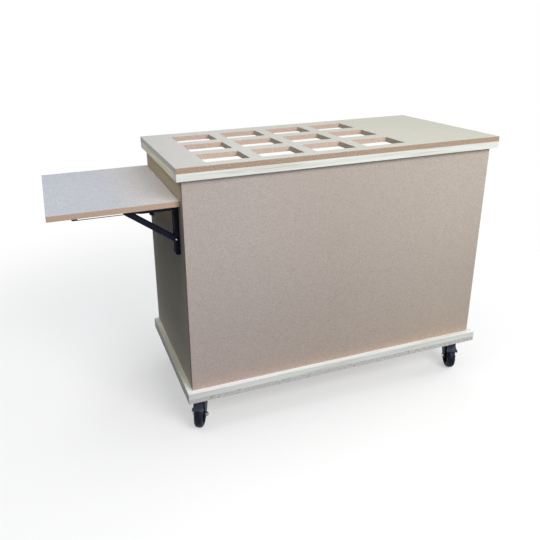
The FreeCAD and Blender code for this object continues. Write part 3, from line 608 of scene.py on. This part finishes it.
for side in ("near", "far"):
    brace_beads(side)
for node, body in (("batten_screws", "carcass"), ("caster_screws", "carcass"),
                   ("wall_screws", "carcass"), ("shelf_screws", "shelf")):
    screw_drives(node, body)

# --- floor, light and camera ---
FLOOR_HALF = 30.0
FLOOR_SHOWN = 0.86           # the floor's colour where it is seen
FLOOR_BOUNCED = 0.18         # and for the light that it throws up
FLOOR_FADE = 0.9, 2.4        # distances over which it goes over to white
FLOOR_GLOW = 0.45            # share of plain white near the object
SKY_RISE = 0.15, 0.75        # heights of the view direction over which the sky brightens
SKY_LOW, SKY_HIGH = 0.07, 0.52
SKY_COLOUR = 0.95, 0.98, 1.0, 1.0
# Each lamp: its name, place, target, width, height, power in watts and colour.
LAMPS = (
    ("overhead", (-1.5, 0.1, 3.2), (-0.3, 0.0, 0.9), 1.7, 2.0, 36.0, (0.97, 0.98, 1.0)),
    ("front", (0.75, -3.0, 2.5), (0.1, -0.3, 0.6), 2.0, 1.6, 104.0, (1.0, 0.985, 0.975)),
    ("back", (2.4, 2.7, 2.2), (0.3, 0.2, 0.5), 1.8, 1.8, 30.0, (1.0, 1.0, 1.0)),
    ("right", (3.2, 0.0, 0.9), (0.6, 0.0, 0.5), 1.6, 1.0, 32.0, (1.0, 1.0, 1.0)),
)


def seen_directly(tree):
    """1 where the camera, gloss or glass looks, and 0 for light on its way to a dull surface."""
    path = tree.nodes.new("ShaderNodeLightPath")
    seen = path.outputs["Is Camera Ray"]
    for ray in ("Is Glossy Ray", "Is Transmission Ray"):
        either = tree.nodes.new("ShaderNodeMath")
        either.operation = "MAXIMUM"
        tree.links.new(seen, either.inputs[0])
        tree.links.new(path.outputs[ray], either.inputs[1])
        seen = either.outputs["Value"]
    return seen


def mapped(tree, value, low, high, out_low, out_high):
    """A value's place between two bounds, eased, as a number between two others."""
    node = tree.nodes.new("ShaderNodeMapRange")
    node.interpolation_type = "SMOOTHSTEP"
    for socket, bound in (("From Min", low), ("From Max", high),
                          ("To Min", out_low), ("To Max", out_high)):
        node.inputs[socket].default_value = bound
    tree.links.new(value, node.inputs["Value"])
    return node.outputs["Result"]


def mixed(tree, factor, first, second):
    """A mix of two shaders."""
    node = tree.nodes.new("ShaderNodeMixShader")
    for socket, value in zip(node.inputs, (factor, first, second)):
        tree.links.new(value, socket)
    return node.outputs["Shader"]


def floor():
    """A plain pale floor that goes over to plain white away from the object.

    It keeps the object's shadow, and throws less light back up than it shows.
    """
    mesh = bpy.data.meshes.new("studio_floor")
    corners = [(-FLOOR_HALF, -FLOOR_HALF, 0), (FLOOR_HALF, -FLOOR_HALF, 0),
               (FLOOR_HALF, FLOOR_HALF, 0), (-FLOOR_HALF, FLOOR_HALF, 0)]
    mesh.from_pydata(corners, [], [(0, 1, 2, 3)])
    ground = bpy.data.objects.new("studio_floor", mesh)
    bpy.context.scene.collection.objects.link(ground)
    material = bpy.data.materials.new("studio_floor")
    material.use_nodes = True
    tree = material.node_tree
    shown = tree.nodes["Principled BSDF"]
    shown.inputs["Base Color"].default_value = (FLOOR_SHOWN,) * 3 + (1.0,)
    shown.inputs["Roughness"].default_value = 1.0
    shown.inputs["Specular IOR Level"].default_value = 0.0
    bounced = tree.nodes.new("ShaderNodeBsdfDiffuse")
    bounced.inputs["Color"].default_value = (FLOOR_BOUNCED,) * 3 + (1.0,)
    white = tree.nodes.new("ShaderNodeEmission")
    white.inputs["Strength"].default_value = 1.0
    place = tree.nodes.new("ShaderNodeTexCoord")
    distance = tree.nodes.new("ShaderNodeVectorMath")
    distance.operation = "LENGTH"
    tree.links.new(place.outputs["Object"], distance.inputs[0])
    far = mapped(tree, distance.outputs["Value"], *FLOOR_FADE, FLOOR_GLOW, 1.0)
    pale = mixed(tree, far, shown.outputs["BSDF"], white.outputs["Emission"])
    surface = mixed(tree, seen_directly(tree), bounced.outputs["BSDF"], pale)
    tree.links.new(surface, tree.nodes["Material Output"].inputs["Surface"])
    mesh.materials.append(material)


def softbox(name, place, target, width, height, power, colour):
    """A rectangular area lamp aimed at a point."""
    lamp = bpy.data.lights.new(name, "AREA")
    lamp.shape = "RECTANGLE"
    lamp.size, lamp.size_y = width, height
    lamp.energy = power
    lamp.color = colour
    holder = bpy.data.objects.new(name, lamp)
    holder.visible_camera = False
    bpy.context.scene.collection.objects.link(holder)
    holder.location = place
    aim = Vector(target) - Vector(place)
    holder.rotation_euler = aim.to_track_quat("-Z", "Y").to_euler()


def daylight():
    """Soft light from above, little from the horizon, and plain white where it is seen."""
    world = bpy.data.worlds.new("studio")
    bpy.context.scene.world = world
    world.use_nodes = True
    tree = world.node_tree
    soft = tree.nodes["Background"]
    soft.inputs["Color"].default_value = SKY_COLOUR
    place = tree.nodes.new("ShaderNodeTexCoord")
    axes = tree.nodes.new("ShaderNodeSeparateXYZ")
    tree.links.new(place.outputs["Generated"], axes.inputs["Vector"])
    tree.links.new(mapped(tree, axes.outputs["Z"], *SKY_RISE, SKY_LOW, SKY_HIGH),
                   soft.inputs["Strength"])
    white = tree.nodes.new("ShaderNodeBackground")
    white.inputs["Color"].default_value = (1.0, 1.0, 1.0, 1.0)
    white.inputs["Strength"].default_value = 1.0
    surface = mixed(tree, seen_directly(tree), soft.outputs["Background"],
                    white.outputs["Background"])
    tree.links.new(surface, tree.nodes["World Output"].inputs["Surface"])


def camera():
    """The camera that the photograph's corners were solved for."""
    yaw, pitch, roll = (math.radians(angle) for angle in (CAMERA_YAW, CAMERA_PITCH, CAMERA_ROLL))
    ahead = Vector((math.sin(yaw) * math.cos(pitch), math.cos(yaw) * math.cos(pitch),
                    math.sin(pitch)))
    right = Vector((math.cos(yaw), -math.sin(yaw), 0.0))
    up = right.cross(ahead)
    right, up = (right * math.cos(roll) + up * math.sin(roll),
                 up * math.cos(roll) - right * math.sin(roll))
    data = bpy.data.cameras.new("camera")
    data.sensor_width = SENSOR
    data.lens = FOCAL_PIXELS / PHOTO_SIDE * SENSOR
    data.shift_x = (PHOTO_SIDE / 2 - CENTRE_X) / PHOTO_SIDE
    data.shift_y = (CENTRE_Y - PHOTO_SIDE / 2) / PHOTO_SIDE
    holder = bpy.data.objects.new("camera", data)
    bpy.context.scene.collection.objects.link(holder)
    turn = Matrix((right, up, -ahead)).transposed().to_4x4()
    holder.matrix_world = Matrix.Translation(CAMERA_PLACE) @ turn
    bpy.context.scene.camera = holder


floor()
daylight()
for lamp in LAMPS:
    softbox(*lamp)
camera()
bpy.context.scene.view_settings.view_transform = "Standard"
